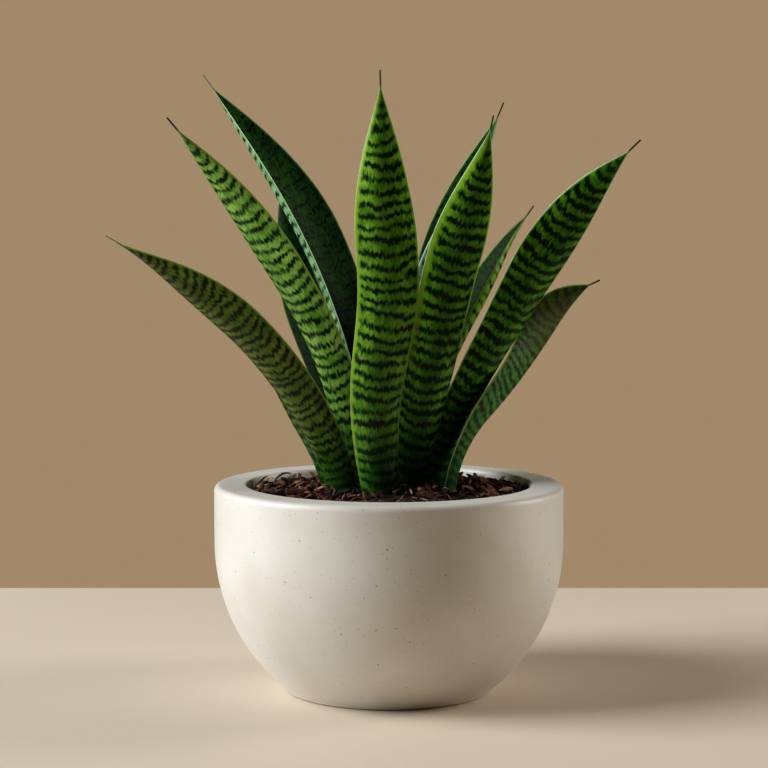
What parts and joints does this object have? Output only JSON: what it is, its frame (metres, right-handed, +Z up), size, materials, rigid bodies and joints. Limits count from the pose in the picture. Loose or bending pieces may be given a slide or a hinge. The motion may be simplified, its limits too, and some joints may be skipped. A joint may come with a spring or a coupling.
{
  "type": "potted snake plant",
  "caption": "Snake plant with banded sword-shaped leaves, rooted in bark-topped potting mix in a thick-walled round bowl planter.",
  "frame": {"origin": "centre of the planter's flat underside, on the bowl's axis", "axes": "+Z up along the bowl's axis, -Y towards the front, where the tallest leaf stands, +X to the right seen from the front"},
  "size_m": [0.4088, 0.28, 0.4966],
  "materials": {
    "cast_stone": "satin",
    "potting_mix": "matte",
    "bark": "matte",
    "rhizome": "matte",
    "root": "matte",
    "leaf_bright": "satin",
    "leaf_dark": "satin",
    "leaf_olive": "satin"
  },
  "bodies": {
    "root": {"bark_chip_01": "bark", "bark_chip_02": "bark", "bark_chip_03": "bark", "bark_chip_04": "bark", "bark_chip_05": "bark", "bark_chip_06": "bark", "bark_chip_07": "bark", "bark_chip_08": "bark", "bark_chip_09": "bark", "bark_chip_10": "bark", "bark_chip_11": "bark", "bark_chip_12": "bark", "bark_chip_13": "bark", "bark_mulch": "bark", "leaf_back_centre": "leaf_dark", "leaf_back_left": "leaf_dark", "leaf_back_right": "leaf_dark", "leaf_far_left": "leaf_olive", "leaf_far_right": "leaf_olive", "leaf_front_centre": "leaf_bright", "leaf_front_right": "leaf_bright", "leaf_low_left": "leaf_dark", "leaf_tall_left": "leaf_dark", "leaf_tall_right": "leaf_dark", "leaf_upper_left": "leaf_bright", "leaf_young_centre": "leaf_dark", "planter": "cast_stone", "potting_mix": "potting_mix", "rhizome": "rhizome", "root_1": "root", "root_2": "root", "root_3": "root", "root_4": "root", "root_5": "root", "root_6": "root"}
  },
  "joints": []
}
